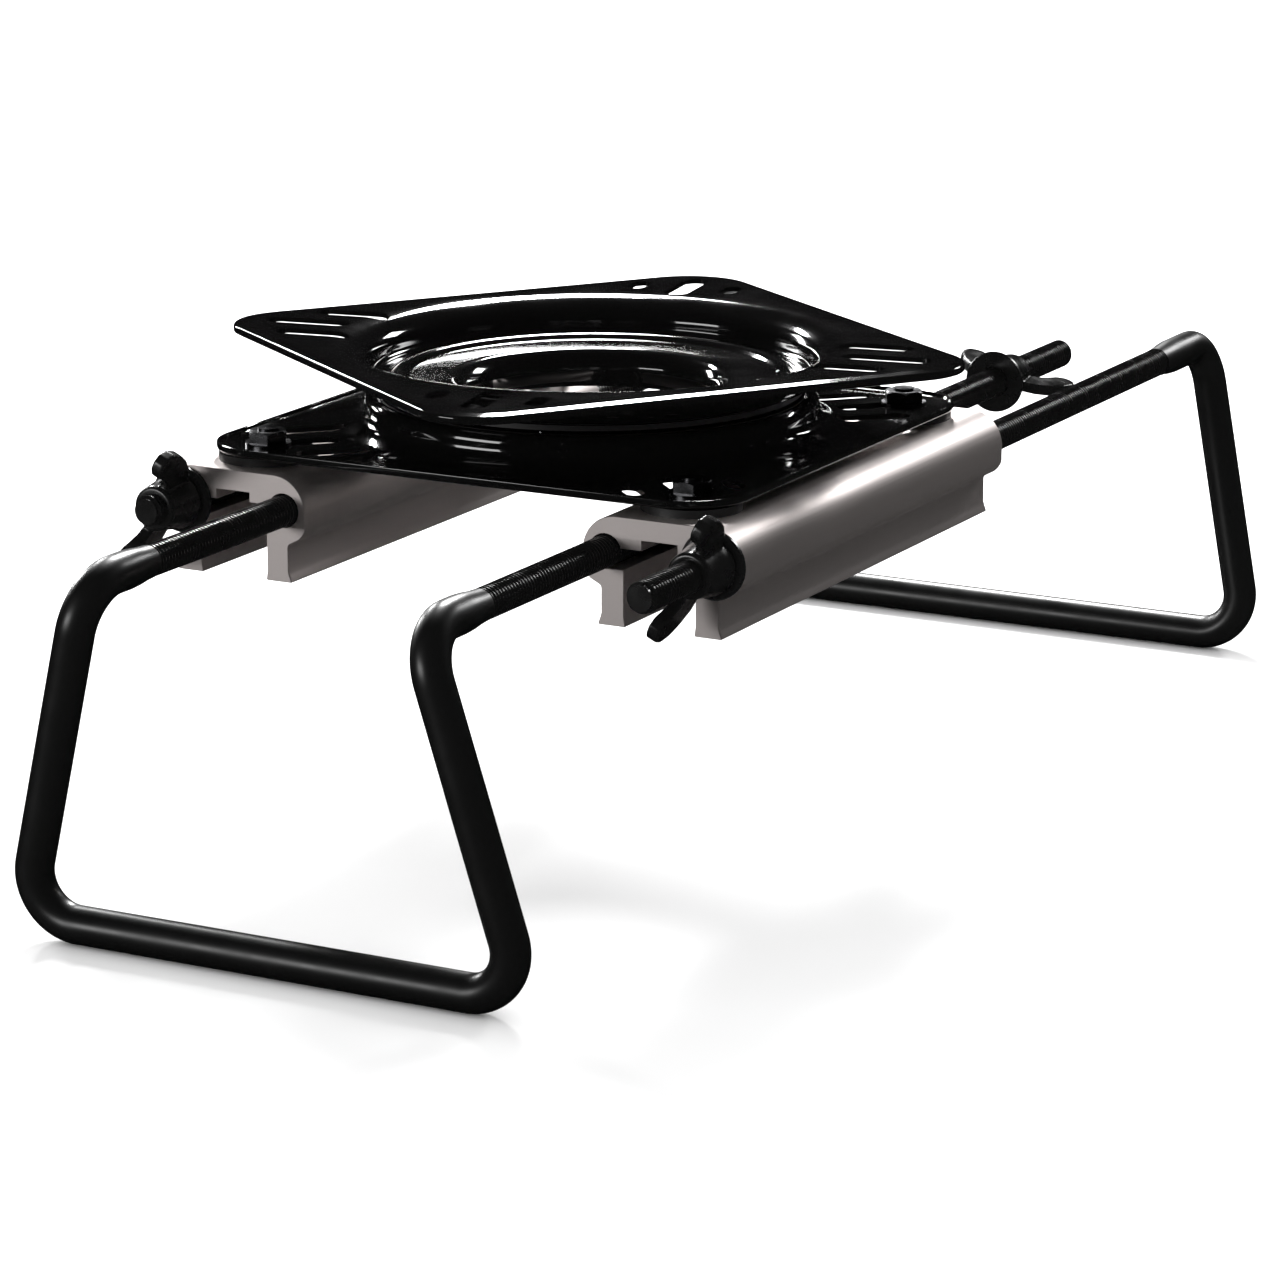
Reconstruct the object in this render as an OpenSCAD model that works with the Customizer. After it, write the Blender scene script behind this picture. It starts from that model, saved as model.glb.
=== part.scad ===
// Clamp-on swivel seat base: two pressed plates with a ball race between them,
// bolted to a pair of extruded rails. Two bent rods run through the rails from
// opposite ends, hook under a bench and are drawn together by wing nuts.
// X across the bench, Y along the rails, Z up; it stands on the bottom bars.

/* [Swivel plates] */
// side of each square plate, the usual seven inch swivel size
plate_side = 178;  // [150:1:260]
// corner radius of the plates
plate_corner = 20;  // [8:1:30]
// sheet thickness of both plates
sheet = 1.5;  // [1:0.1:3]
// face to face height of the swivel
swivel_height = 27.85;  // [22:0.05:45]
// turn of the upper plate from square, as it is shown
upper_turn = -35.5;  // [-180:0.5:180]
// width of the turned down edge strip
edge_lip = 1.4;  // [0.6:0.1:3]

/* [Pressed dish] */
// distance from the plate edge in to the drum wall
drum_margin = 19;  // [16:0.5:30]
// gap between the two drums round the ball race
drum_gap = 3.01;  // [2.4:0.01:5]
// wide upper radius of the dish lip, seen from the dish side
lip_r = 18;  // [6:0.5:24]
// angle turned on that radius
lip_turn = 35;  // [10:1:60]
// tight radius from the lip into the wall
wall_r = 5.5;  // [2:0.5:10]
// radius from the wall into the floor, drum side
floor_r = 3.5;  // [2:0.5:8]

/* [Ball race] */
// ball diameter
ball_d = 6;  // [4:0.5:10]
// distance from the drum wall in to the ball circle
race_inset = 10;  // [8.5:0.5:20]
// running gap between a ball and its groove
race_gap = 0.05;  // [0.02:0.01:0.1]
// number of balls
ball_count = 24;  // [8:1:48]
// thickness of the ball cage
cage_t = 1.6;  // [1:0.1:2.6]
// width of the ball cage across the ring
cage_w = 11;  // [8:0.5:16]

/* [Rolled centre neck] */
// distance from the ball circle in to the bore of the neck
neck_inset = 22;  // [20:0.5:36]
// radius from the dish floor down into the neck
neck_bend = 6.5;  // [3:0.5:10]
// width of the rolled flange from the bore of the neck
flange_w = 10;  // [7:0.5:14]
// thickness of the slip ring
slip_t = 4.2;  // [1:0.1:6]
// running gap above and below the slip ring
slip_gap = 0.05;  // [0.02:0.01:0.1]
// clearance of the lower plate round the neck
neck_clear = 2.5;  // [1:0.1:4]

/* [Plate slots] */
// middle slot width, for a quarter inch bolt
slot_w = 8;  // [6.5:0.1:10]
// how far the middle slots reach into the dish lip
slot_bite = 1.47;  // [0:0.01:3]
// outer end of the middle slots, in from the sharp corner of the square
slot_back = 17.865;  // [16:0.005:24]
// width of the two long slots at the side corners
side_slot_w = 8;  // [5:0.1:12]
// sideways position of the long slots
side_slot_e = 16.5;  // [12:0.5:22]
// how far the long slots reach into the dish lip
side_slot_bite = 7.67;  // [0:0.01:9]
// outer end of the long slots, in from the sharp corner
side_slot_back = 27.865;  // [25:0.005:34]
// width of the short slots at the other two corners
short_slot_w = 5.6;  // [4:0.1:8]
// sideways position of the short slots
short_slot_e = 15.5;  // [12:0.5:20]
// how far the short slots keep off the dish lip
short_slot_off = 4.83;  // [2:0.01:8]
// outer end of the short slots, in from the sharp corner
short_slot_back = 26.865;  // [24:0.005:34]

/* [Rails] */
// length of a rail past the plate bolts at each end
rail_over = 20.3;  // [12:0.1:60]
// plate bolt centre, in from the outer end centre of the middle slot
bolt_back = 1.894;  // [0:0.001:8]
// full width of a rail over its shoulders
rail_w = 50.4;  // [44:0.1:60]
// height of the rail top above the rod axis
rail_top = 10.6;  // [9:0.1:14]
// depth of the leg feet below the rod axis
rail_foot = 22.05;  // [16:0.05:30]
// shoulder radius
shoulder_r = 11;  // [6:0.5:14]
// outer face of a leg in from the full width
leg_inset = 6.1;  // [4:0.1:9]
// leg thickness
leg_t = 7.5;  // [4:0.1:9]
// height of the leg shelf under the rod pocket, below the axis
shelf = 5;  // [4.8:0.1:8]
// centre of the rod pocket in from the full width
pocket_inset = 7.5;  // [6:0.1:10]
// gap between a rod and its pocket
pocket_gap = 0.35;  // [0.2:0.05:0.8]
// side gap between a bolt head and the channel walls
channel_gap = 0.2;  // [0.1:0.05:0.5]
// underside of the ribs above the rod axis
rib_z = 1.2;  // [-2:0.1:3]
// underside of the top wall in the bolt channel, above the axis
channel_z = 4.2;  // [2:0.1:6]

/* [Rods] */
// diameter of the coated rod
rod_d = 11.5;  // [9:0.1:14]
// outside diameter of the threaded ends, three eighths inch
thread_d = 9.5;  // [8:0.1:12]
// chamfer on the rod tips
tip_chamfer = 0.9;  // [0.3:0.1:2]
// centreline radius of the bends
bend_r = 14;  // [10:0.5:40]
// drop from the rod axis to the axis of the bottom bar
drop = 103;  // [60:1:160]
// lean of the hanging legs toward the middle over the drop
lean = 7.3;  // [0:0.1:20]

/* [Front loop] */
// corner of the front loop ahead of the rail ends
front_past = 105.2;  // [90:0.1:200]
// outward splay of its legs over the drop
front_splay = 28.4;  // [0:0.1:40]
// plain length at the corner, from the corner to the thread
front_plain = 32.7;  // [28:0.1:80]
// tips of its legs behind the rail ends
front_tip_past = 147;  // [110:0.5:200]

/* [Rear loop] */
// corner of the rear loop behind the rail ends
rear_past = 190.8;  // [90:0.1:260]
// outward splay of its legs over the drop
rear_splay = 22.1;  // [0:0.1:40]
// plain length at the corner, from the corner to the thread
rear_plain = 44.3;  // [28:0.1:80]
// tip of its right leg ahead of the rail ends
rear_tip_past = 45.5;  // [30:0.5:90]
// how much shorter its left leg ends
rear_left_short = 25;  // [0:0.5:26]

/* [Wing nuts] */
// diameter of the flange washer
flange_d = 20.5;  // [16:0.5:26]
// thickness of the flange washer
flange_t = 2.4;  // [1.5:0.1:4]
// clearance of the nut and washer bores around the thread
bore_gap = 0.08;  // [0.05:0.01:0.1]
// hub length of the nut
hub_len = 14;  // [8:0.5:20]
// hub diameter at the flange end
hub_d = 17;  // [13:0.5:22]
// hub diameter at the outer end
hub_end_d = 13.5;  // [12:0.5:20]
// reach of the wings from the rod axis
wing_reach = 20.6;  // [14:0.5:30]
// thickness of the wings
wing_t = 3.2;  // [2:0.1:5]
// sweep of the wing tips past the hub end
wing_sweep = 8;  // [0:0.5:16]
// radius of the rounded wing tips
wing_tip_r = 4.5;  // [3:0.1:6]
// turn of the wings of the tight nuts from the X axis
tight_turn = 65;  // [0:1:180]
// turn of the wings of the loose nuts from the X axis
loose_turn = 12;  // [0:1:180]
// inner face of the loose washers behind the rail ends
loose_past = 89.5;  // [1:0.5:110]

/* [Plate bolts] */
// shank diameter of the plate bolts
bolt_d = 6.35;  // [5:0.05:8]
// across flats of heads and nuts
bolt_af = 11.1;  // [9:0.1:14]
// height of the bolt heads
head_h = 4;  // [3:0.1:6]
// height of the plate nuts
nut_h = 3.6;  // [3:0.1:7]
// diameter of the flat washers
bolt_washer_d = 14;  // [12:0.5:20]
// thickness of the flat washers
bolt_washer_t = 0.9;  // [0.6:0.1:2]
// diameter of the spacer under each plate corner
spacer_d = 30;  // [20:0.5:36]
// thickness of the spacer
spacer_t = 2.5;  // [1:0.1:5]
// clearance hole over the bolt diameter
bolt_hole_extra = 0.25;  // [0.1:0.05:1]
// bolt end standing above its nut
bolt_end = 0.8;  // [0.4:0.1:5]

/* [Hidden] */
$fn = 96;
tiny = 0.01;
collar_w = 0.8;
collar_extra = 0.06;
// rail section, from its full width
rail_half = rail_w / 2;
leg_out = rail_half - leg_inset;
pocket_x = rail_half - pocket_inset;
// drums as high as their gap leaves them
drum_rise = (swivel_height - drum_gap) / 2;
// radii of the drum, the race and the neck, each from the one outside it
drum_r = plate_side / 2 - drum_margin;
race_r = drum_r - race_inset;
neck_r = race_r - neck_inset;
flange_out_r = neck_r + flange_w;
lower_hole_r = neck_r + sheet + neck_clear;
// slots along the diagonals, from the sharp corner inward
corner_at = plate_side / sqrt(2);
slot_out = corner_at - slot_back;
side_slot_out = corner_at - side_slot_back;
short_slot_out = corner_at - short_slot_back;
// the rails lie where the bolts reach the middle slots
rail_x = (slot_out - slot_w / 2 - bolt_back) / sqrt(2);
rail_end = rail_x + rail_over;
// the loops and their nuts, from the rail ends
front_reach = rail_end + front_past;
rear_reach = rail_end + rear_past;
front_thread_at = front_plain - front_reach;
rear_thread_at = rear_reach - rear_plain;
front_tip = rail_end + front_tip_past;
rear_tip = -rail_end - rear_tip_past;
loose_at = rail_end + loose_past;
// bends: turning angle and tangent length of the upper corners
front_leg = [front_splay, lean, -drop];
rear_leg = [rear_splay, -lean, -drop];
function top_turn(leg) = acos(-lean / norm(leg));
function tangent(leg) = bend_r * tan(top_turn(leg) / 2);
front_ext = front_reach - tangent(front_leg) + bend_r + rod_d / 2;
rear_ext = rear_reach - tangent(rear_leg) + bend_r + rod_d / 2;
swivel_y = (front_ext - rear_ext) / 2;
// heights
axis_z = drop + rod_d / 2;
front_x = rail_x - pocket_x;
rear_x = rail_x + pocket_x;
lower_z = axis_z + rail_top + spacer_t;
upper_z = lower_z + swivel_height;
mid_h = swivel_height / 2;
pocket_r = thread_d / 2 + pocket_gap;
groove_r = ball_d / 2 + race_gap;
flange_top = swivel_height - drum_rise + sheet + slip_t + 2 * slip_gap;

// ring sector between two radii, drawn about [cx, cy]
module arc_strip(cx, cy, r_in, r_out, a0, a1) {
    translate([cx, cy]) intersection() {
        difference() {
            circle(r_out);
            circle(r_in);
        }
        polygon([[0, 0], [3 * r_out * cos(a0), 3 * r_out * sin(a0)],
            [3 * r_out * cos((a0 + a1) / 2), 3 * r_out * sin((a0 + a1) / 2)],
            [3 * r_out * cos(a1), 3 * r_out * sin(a1)]]);
    }
}

// square with rounded corners
module rounded_square(side, r) {
    square([side - 2 * r, side], center = true);
    square([side, side - 2 * r], center = true);
    for (x = [-1, 1], y = [-1, 1])
        translate([x * (side / 2 - r), y * (side / 2 - r)]) circle(r);
}

// slot along the diagonal direction "turn" of a plate
module slot(turn, d0, d1, e, w) {
    rotate([0, 0, turn]) {
        for (d = [d0 + w / 2, d1 - w / 2]) translate([d, e]) circle(d = w);
        translate([(d0 + d1) / 2, e]) square([d1 - d0 - w, w], center = true);
    }
}

// all the slots of one plate; long side slots on one diagonal
module slots() {
    for (a = [45, 135, 225, 315]) slot(a, lip_cx - slot_bite, slot_out, 0, slot_w);
    for (a = [45, 225], e = [-1, 1])
        slot(a, lip_cx - side_slot_bite, side_slot_out, e * side_slot_e, side_slot_w);
    for (a = [135, 315], e = [-1, 1])
        slot(a, lip_cx + short_slot_off, short_slot_out, e * short_slot_e, short_slot_w);
}

// centre of the tight wall radius and of the wide lip radius, as [r, height]
wall_cx = drum_r + wall_r - sheet;
lip_cx = wall_cx + (lip_r - wall_r) * sin(lip_turn);
wall_cy = lip_r - (lip_r - wall_r) * cos(lip_turn);
floor_cy = drum_rise - floor_r;
floor_top = drum_rise - sheet;

// half section of the pressed drum, mounting face at height 0
module drum_section(inner) {
    translate([lip_cx, 0]) square([3, sheet]);
    arc_strip(lip_cx, lip_r, lip_r - sheet, lip_r, -90 - lip_turn, -90);
    arc_strip(wall_cx, wall_cy, wall_r - sheet, wall_r, -180, -90 - lip_turn);
    translate([wall_cx, wall_cy]) rotate([0, 0, -90 - lip_turn])
        translate([wall_r - sheet / 2, 0]) square([sheet + 2 * tiny, 0.4], center = true);
    translate([drum_r - sheet, wall_cy]) square([sheet, floor_cy - wall_cy]);
    arc_strip(drum_r - floor_r, floor_cy, floor_r - sheet, floor_r, 0, 90);
    difference() {
        union() {
            translate([inner, floor_top]) square([drum_r - floor_r - inner, sheet]);
            intersection() {
                translate([race_r, mid_h]) circle(groove_r + sheet);
                translate([race_r - 10, 0]) square([20, drum_rise]);
            }
        }
        translate([race_r, mid_h]) circle(groove_r);
    }
}

// flat sheet round the drum, with its slots and the slightly turned edge
module plate_flat() {
    difference() {
        linear_extrude(sheet) rounded_square(plate_side, plate_corner);
        translate([0, 0, -1]) cylinder(r = lip_cx + 1.5, h = sheet + 2);
    }
    translate([0, 0, sheet - tiny]) linear_extrude(edge_lip) difference() {
        rounded_square(plate_side, plate_corner);
        rounded_square(plate_side - 2 * sheet, plate_corner - sheet);
    }
}

module slot_cut() {
    translate([0, 0, -1]) linear_extrude(sheet + 4) slots();
}

module lower_plate() {
    color([0.02, 0.02, 0.02]) translate([0, swivel_y, lower_z]) difference() {
        union() {
            plate_flat();
            rotate_extrude() drum_section(lower_hole_r);
        }
        slot_cut();
    }
}

// neck bend and rolled flange of the upper plate, heights from its own face
neck_cy = floor_top + neck_bend;
roll_in = 0.5;
roll_cy = flange_top - roll_in;
module neck_section() {
    arc_strip(neck_r + neck_bend, neck_cy, neck_bend - sheet, neck_bend, -180, -90);
    translate([neck_r, neck_cy]) square([sheet, roll_cy - neck_cy]);
    arc_strip(neck_r + sheet + roll_in, roll_cy, roll_in, roll_in + sheet, 90, 180);
    translate([neck_r + sheet + roll_in, flange_top])
        square([flange_out_r - neck_r - sheet - roll_in, sheet]);
}

module upper_plate() {
    color([0.02, 0.02, 0.02]) translate([0, swivel_y, upper_z])
        rotate([0, 0, upper_turn]) mirror([0, 0, 1]) difference() {
            union() {
                plate_flat();
                rotate_extrude() {
                    drum_section(neck_r + neck_bend);
                    neck_section();
                }
            }
            slot_cut();
        }
}

module ball_ring(d) {
    for (i = [0 : ball_count - 1]) rotate([0, 0, i * 360 / ball_count])
        translate([race_r, 0, 0]) sphere(d = d, $fn = 32);
}

module ball_cage() {
    color([0.03, 0.03, 0.03]) translate([0, swivel_y, lower_z + mid_h]) difference() {
        translate([0, 0, -cage_t / 2]) cylinder(r = race_r + cage_w / 2, h = cage_t);
        translate([0, 0, -cage_t]) cylinder(r = race_r - cage_w / 2, h = 2 * cage_t);
        for (i = [0 : ball_count - 1]) rotate([0, 0, i * 360 / ball_count])
            translate([race_r, 0, -cage_t]) cylinder(d = ball_d + 0.1, h = 2 * cage_t);
    }
}

module race_balls() {
    color([0.75, 0.75, 0.77]) translate([0, swivel_y, lower_z + mid_h]) ball_ring(ball_d);
}

// slip ring between the rolled flange and the underside of the lower drum
module slip_ring() {
    color([0.03, 0.03, 0.03])
        translate([0, swivel_y, lower_z + floor_top - slip_gap - slip_t]) difference() {
            cylinder(r = flange_out_r + 2, h = slip_t);
            translate([0, 0, -1]) cylinder(r = neck_r + sheet + 1, h = slip_t + 2);
        }
}

// one half of the rail section, rail centre at x = 0 and rod axis at height 0
leg_in = leg_out - leg_t;
channel_half = bolt_af / 2 + channel_gap;
module rail_outline() {
    difference() {
        union() {
            polygon([[-1, channel_z], [channel_half, channel_z], [channel_half, rib_z],
                [pocket_x, rib_z], [pocket_x, -shelf], [leg_in, -shelf], [leg_in, -19],
                [leg_in - 0.4, -rail_foot], [leg_out + 1, -rail_foot], [leg_out + 1, -21.4],
                [leg_out, -20], [leg_out, -11.2], [rail_half - 1.1, -7.4],
                [rail_half, -4.8], [rail_half, rail_top - shoulder_r],
                [rail_half - shoulder_r, rail_top], [-1, rail_top]]);
            translate([rail_half - shoulder_r, rail_top - shoulder_r]) intersection() {
                circle(shoulder_r);
                square(shoulder_r + 1);
            }
        }
        translate([pocket_x, 0]) circle(pocket_r);
    }
}

module rail(side) {
    color([0.72, 0.69, 0.68]) difference() {
        translate([side * rail_x, swivel_y + rail_end, axis_z]) rotate([90, 0, 0])
            linear_extrude(2 * rail_end) {
                rail_outline();
                mirror([1, 0]) rail_outline();
            }
        for (y = [-1, 1]) translate([side * rail_x, swivel_y + y * rail_x, axis_z])
            cylinder(d = bolt_d + bolt_hole_extra, h = rail_top + 1);
    }
}

module left_rail() { rail(-1); }
module right_rail() { rail(1); }

module at_bolts() {
    for (x = [-1, 1], y = [-1, 1])
        translate([x * rail_x, swivel_y + y * rail_x, axis_z]) children();
}

module corner_spacers() {
    color([0.03, 0.03, 0.03]) at_bolts() translate([0, 0, rail_top]) difference() {
        cylinder(d = spacer_d, h = spacer_t);
        translate([0, 0, -1]) cylinder(d = bolt_d + bolt_hole_extra, h = spacer_t + 2);
    }
}

module plate_bolts() {
    color([0.1, 0.1, 0.11]) at_bolts() {
        translate([0, 0, channel_z - head_h]) rotate([0, 0, 30])
            linear_extrude(head_h) hex(bolt_af);
        translate([0, 0, channel_z - tiny]) cylinder(d = bolt_d, h = rail_top - channel_z
            + spacer_t + sheet + bolt_washer_t + nut_h + bolt_end);
    }
}

// hexagon across flats, drawn as a polygon
module hex(af) {
    polygon([for (i = [0 : 5]) [af / 2 / cos(30) * cos(60 * i), af / 2 / cos(30) * sin(60 * i)]]);
}

stack_z = rail_top + spacer_t + sheet;
module plate_washers() {
    color([0.1, 0.1, 0.11]) at_bolts() translate([0, 0, stack_z]) difference() {
        cylinder(d = bolt_washer_d, h = bolt_washer_t);
        translate([0, 0, -1]) cylinder(d = bolt_d + bolt_hole_extra, h = bolt_washer_t + 2);
    }
}

module plate_nuts() {
    color([0.1, 0.1, 0.11]) at_bolts() translate([0, 0, stack_z + bolt_washer_t]) difference() {
        intersection() {
            linear_extrude(nut_h) hex(bolt_af);
            cylinder(r1 = bolt_af / 2 / cos(30) + nut_h * 1.2, r2 = bolt_af / 2 - 0.1, h = nut_h);
        }
        translate([0, 0, -1]) cylinder(d = bolt_d + 0.1, h = nut_h + 2);
    }
}

// turn that brings the Z axis onto direction v
function lean_of(v) = [0, acos(v[2] / norm(v)), atan2(v[1], v[0])];
function unit(v) = v / norm(v);

// straight rod from a to b
module rod(a, b, d) {
    translate(a) rotate(lean_of(b - a)) cylinder(d = d, h = norm(b - a));
}

// bend at corner c between points a and b, and the tangent length it takes
function bend_tan(a, c, b) =
    bend_r * tan(acos(unit(c - a) * unit(b - c)) / 2);
module bend(a, c, b, d) {
    u = unit(c - a);
    v = unit(b - c);
    n = unit(cross(u, v));
    turn = acos(u * v);
    centre = c - u * bend_tan(a, c, b) + unit(cross(n, u)) * bend_r;
    x = unit(c - u * bend_tan(a, c, b) - centre);
    y = cross(n, x);
    multmatrix([[x[0], y[0], n[0], centre[0]], [x[1], y[1], n[1], centre[1]],
        [x[2], y[2], n[2], centre[2]], [0, 0, 0, 1]])
        rotate_extrude(angle = turn) translate([bend_r, 0]) circle(d = d);
}

// thin collar that closes the joint between a straight run and a bend
module collar(p, v) {
    translate(p - unit(v) * collar_w / 2) rotate(lean_of(v))
        cylinder(d = rod_d + collar_extra, h = collar_w);
}

// whole loop, "way" is -1 for the front one and 1 for the rear one; the left
// leg ends "short" earlier than the right one
module loop(way, x, reach, leg, thread_at, right_tip, short) {
    c = [x, way * reach, 0];
    e = c + leg;
    a = [x, right_tip, 0];
    m = [0, e[1], e[2]];
    t1 = bend_tan(a, c, e);
    t2 = bend_tan(c, e, m);
    color([0.02, 0.02, 0.02]) translate([0, swivel_y, axis_z]) {
        for (s = [0, 1]) mirror([s, 0, 0]) {
            tip = right_tip + way * s * short;
            rod([x, thread_at, 0], c - unit(c - a) * t1, rod_d);
            rod([x, tip + way * tip_chamfer, 0], [x, thread_at + way, 0], thread_d);
            translate([x, tip + way * tip_chamfer, 0]) rotate([way * 90, 0, 0])
                cylinder(d1 = thread_d, d2 = thread_d - 2 * tip_chamfer, h = tip_chamfer);
            bend(a, c, e, rod_d);
            rod(c + unit(leg) * t1, e - unit(leg) * t2, rod_d);
            bend(c, e, m, rod_d);
            collar(c - unit(c - a) * t1, c - a);
            collar(c + unit(leg) * t1, leg);
            collar(e - unit(leg) * t2, leg);
            collar([e[0] - t2, e[1], e[2]], [1, 0, 0]);
        }
        rod([t2 - e[0], e[1], e[2]], [e[0] - t2, e[1], e[2]], rod_d);
    }
}

module front_loop() {
    loop(-1, front_x, front_reach, front_leg, front_thread_at, front_tip, 0);
}
module rear_loop() {
    loop(1, rear_x, rear_reach, rear_leg, rear_thread_at, rear_tip,
        rear_left_short);
}

// place on a rod: side, loop x, washer inner face and the way it points
module on_rod(side, x, y, way) {
    translate([side * x, swivel_y + y, axis_z]) rotate([way * -90, 0, 0]) children();
}

module flange_washer() {
    color([0.03, 0.03, 0.03]) difference() {
        union() {
            cylinder(d = flange_d, h = flange_t - 0.8);
            translate([0, 0, flange_t - 0.8])
                cylinder(d1 = flange_d, d2 = hub_d + 1.5, h = 0.8);
        }
        translate([0, 0, -1]) cylinder(d = thread_d + 2 * bore_gap, h = flange_t + 2);
    }
}

module wing_nut(turn) {
    color([0.03, 0.03, 0.03]) translate([0, 0, flange_t + 0.05]) difference() {
        union() {
            cylinder(d1 = hub_d, d2 = hub_end_d, h = hub_len);
            rotate([0, 0, turn]) rotate([90, 0, 0]) translate([0, 0, -wing_t / 2])
                linear_extrude(wing_t) for (s = [0, 1]) mirror([s, 0]) wing_shape();
        }
        translate([0, 0, -1]) cylinder(d = thread_d + 2 * bore_gap, h = hub_len + 2);
    }
}

// outline of one wing, x from the rod axis and y along the rod
wing_foot = hub_len / 9;
tip_y = hub_len + wing_sweep - wing_tip_r;
tip_x = wing_reach - wing_tip_r;
module wing_shape() {
    polygon([[0, wing_foot], [hub_d / 2 - 0.5, wing_foot], [wing_reach * 0.875, hub_len * 0.45],
        [tip_x - wing_tip_r * 0.87, tip_y + wing_tip_r / 2],
        [hub_end_d / 2 - 0.6, hub_len - wing_foot], [0, hub_len - wing_foot]]);
    translate([tip_x, tip_y]) circle(wing_tip_r);
    polygon([[wing_reach * 0.875, hub_len * 0.45], [wing_reach, tip_y],
        [tip_x - wing_tip_r * 0.87, tip_y + wing_tip_r / 2], [wing_reach / 2, hub_len * 0.6]]);
}

tight_face = -rail_end - 0.05;
module front_left_washer() { on_rod(-1, front_x, loose_at, 1) flange_washer(); }
module front_right_washer() { on_rod(1, front_x, loose_at, 1) flange_washer(); }
module rear_left_washer() { on_rod(-1, rear_x, tight_face, -1) flange_washer(); }
module rear_right_washer() { on_rod(1, rear_x, tight_face, -1) flange_washer(); }
module front_left_wing_nut() { on_rod(-1, front_x, loose_at, 1) wing_nut(loose_turn); }
module front_right_wing_nut() { on_rod(1, front_x, loose_at, 1) wing_nut(loose_turn); }
module rear_left_wing_nut() { on_rod(-1, rear_x, tight_face, -1) wing_nut(tight_turn); }
module rear_right_wing_nut() { on_rod(1, rear_x, tight_face, -1) wing_nut(tight_turn); }

lower_plate();
upper_plate();
ball_cage();
race_balls();
slip_ring();
left_rail();
right_rail();
corner_spacers();
plate_bolts();
plate_washers();
plate_nuts();
front_loop();
rear_loop();
front_left_washer();
front_right_washer();
rear_left_washer();
rear_right_washer();
front_left_wing_nut();
front_right_wing_nut();
rear_left_wing_nut();
rear_right_wing_nut();
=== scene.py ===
import bpy, bmesh
from math import sin, cos, tan, pi, radians, degrees, asin, acos, sqrt, atan2
from mathutils import Vector, Matrix


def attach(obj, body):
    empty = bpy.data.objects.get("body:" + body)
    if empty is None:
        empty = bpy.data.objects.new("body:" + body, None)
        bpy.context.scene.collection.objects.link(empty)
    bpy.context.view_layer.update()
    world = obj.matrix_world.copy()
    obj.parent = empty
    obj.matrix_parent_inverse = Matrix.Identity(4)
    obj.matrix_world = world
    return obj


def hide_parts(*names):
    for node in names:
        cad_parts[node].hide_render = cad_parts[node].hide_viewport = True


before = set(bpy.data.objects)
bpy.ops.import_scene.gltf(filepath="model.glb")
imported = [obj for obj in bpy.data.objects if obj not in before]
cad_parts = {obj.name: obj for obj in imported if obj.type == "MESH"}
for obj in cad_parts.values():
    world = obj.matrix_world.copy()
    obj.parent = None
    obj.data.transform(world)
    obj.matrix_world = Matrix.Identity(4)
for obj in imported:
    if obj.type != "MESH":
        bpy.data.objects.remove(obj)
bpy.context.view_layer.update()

MM = 0.001

# sizes shared with the source, in mm
# square plates: side, corner radius, sheet, height of the swivel, turn of the upper plate
SIDE, CORNER, SHEET, HEIGHT, TURN = 178.0, 20.0, 1.5, 27.85, -35.5
# pressing: drum radius and rise, lip radius and turn, radii of the wall's two bends
DRUM_R, RISE, LIP_R, LIP_TURN, WALL_R, FLOOR_R = 70.0, 12.42, 18.0, 35.0, 5.5, 3.5
# circle of the ball race, radius of its groove, neck and the bend into it, slip ring
RACE_R, GROOVE, NECK_R, NECK_BEND, SLIP = 60.0, 3.05, 38.0, 6.5, 4.2
# the neck's flange and the hole it passes
FLANGE_R, HOLE_R = 48.0, 42.0
# slots: diagonals they lie on, inner end, outer end, width, offsets from the diagonal
SLOTS = (((45, 135, 225, 315), 79.7, 108.0, 8.0, (0.0,)),
         ((45, 225), 73.5, 98.0, 8.0, (-16.5, 16.5)),
         ((135, 315), 86.0, 99.0, 5.6, (-15.5, 15.5)))
# turned edge of the plates: where it starts, its radius, its lean at the start
EDGE_IN, EDGE_R, EDGE_LEAN = 3.8, 0.9, 10
# rods: coated and threaded diameter, pitch and depth of the thread, bend radius
ROD, THREAD, PITCH, DEPTH, BEND = 11.5, 9.5, 1.5875, 0.85, 14.0
# legs of the loops: drop, and lean of their feet toward the middle
DROP, LEAN = 103.0, 7.3
# rails: distance from the middle, pockets from the rail's middle, half length, room
# round a rod in its pocket, place and radius of the bolt holes
RAIL_X, POCKET, RAIL_HALF, POCKET_GAP = 72.2, 17.7, 92.5, 0.35
BOLT_Y, BOLT_HOLE_R = 72.2, 3.3
# the rails' top above the rods' axes, and the spacers on it
RAIL_TOP, SPACER = 10.6, 2.5
# bore of nuts and washers, and the washer's thickness with its gap to the nut
BORE_R, NUT_SEAT = 4.83, 2.45
AXIS_Z = DROP + ROD / 2
# each loop: way it reaches, its rods' distance from the middle, reach of its bends,
# splay of its legs, shoulder and tips (left, right) of its threads, place of the
# washers, turn of the wings
LOOPS = {
    "front": dict(way=-1, x=RAIL_X - POCKET, reach=197.7, splay=28.4, shoulder=-165.0,
                  tips=(239.5, 239.5), washer=182.0, wings=12),
    "rear": dict(way=1, x=RAIL_X + POCKET, reach=283.3, splay=22.1, shoulder=239.0,
                 tips=(-113.0, -138.0), washer=-92.55, wings=65),
}
SIDES = (("left", -1), ("right", 1))


def loop_end(reach, splay, **rest):
    """How far a loop reaches from the swivel axis, bend and coating included."""
    turn = acos(-LEAN / sqrt(splay * splay + LEAN * LEAN + DROP * DROP))
    return reach - BEND * tan(turn / 2) + BEND + ROD / 2


SW_Y = (loop_end(**LOOPS["front"]) - loop_end(**LOOPS["rear"])) / 2
LOW_Z = AXIS_Z + RAIL_TOP + SPACER
UP_Z = LOW_Z + HEIGHT


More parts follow.
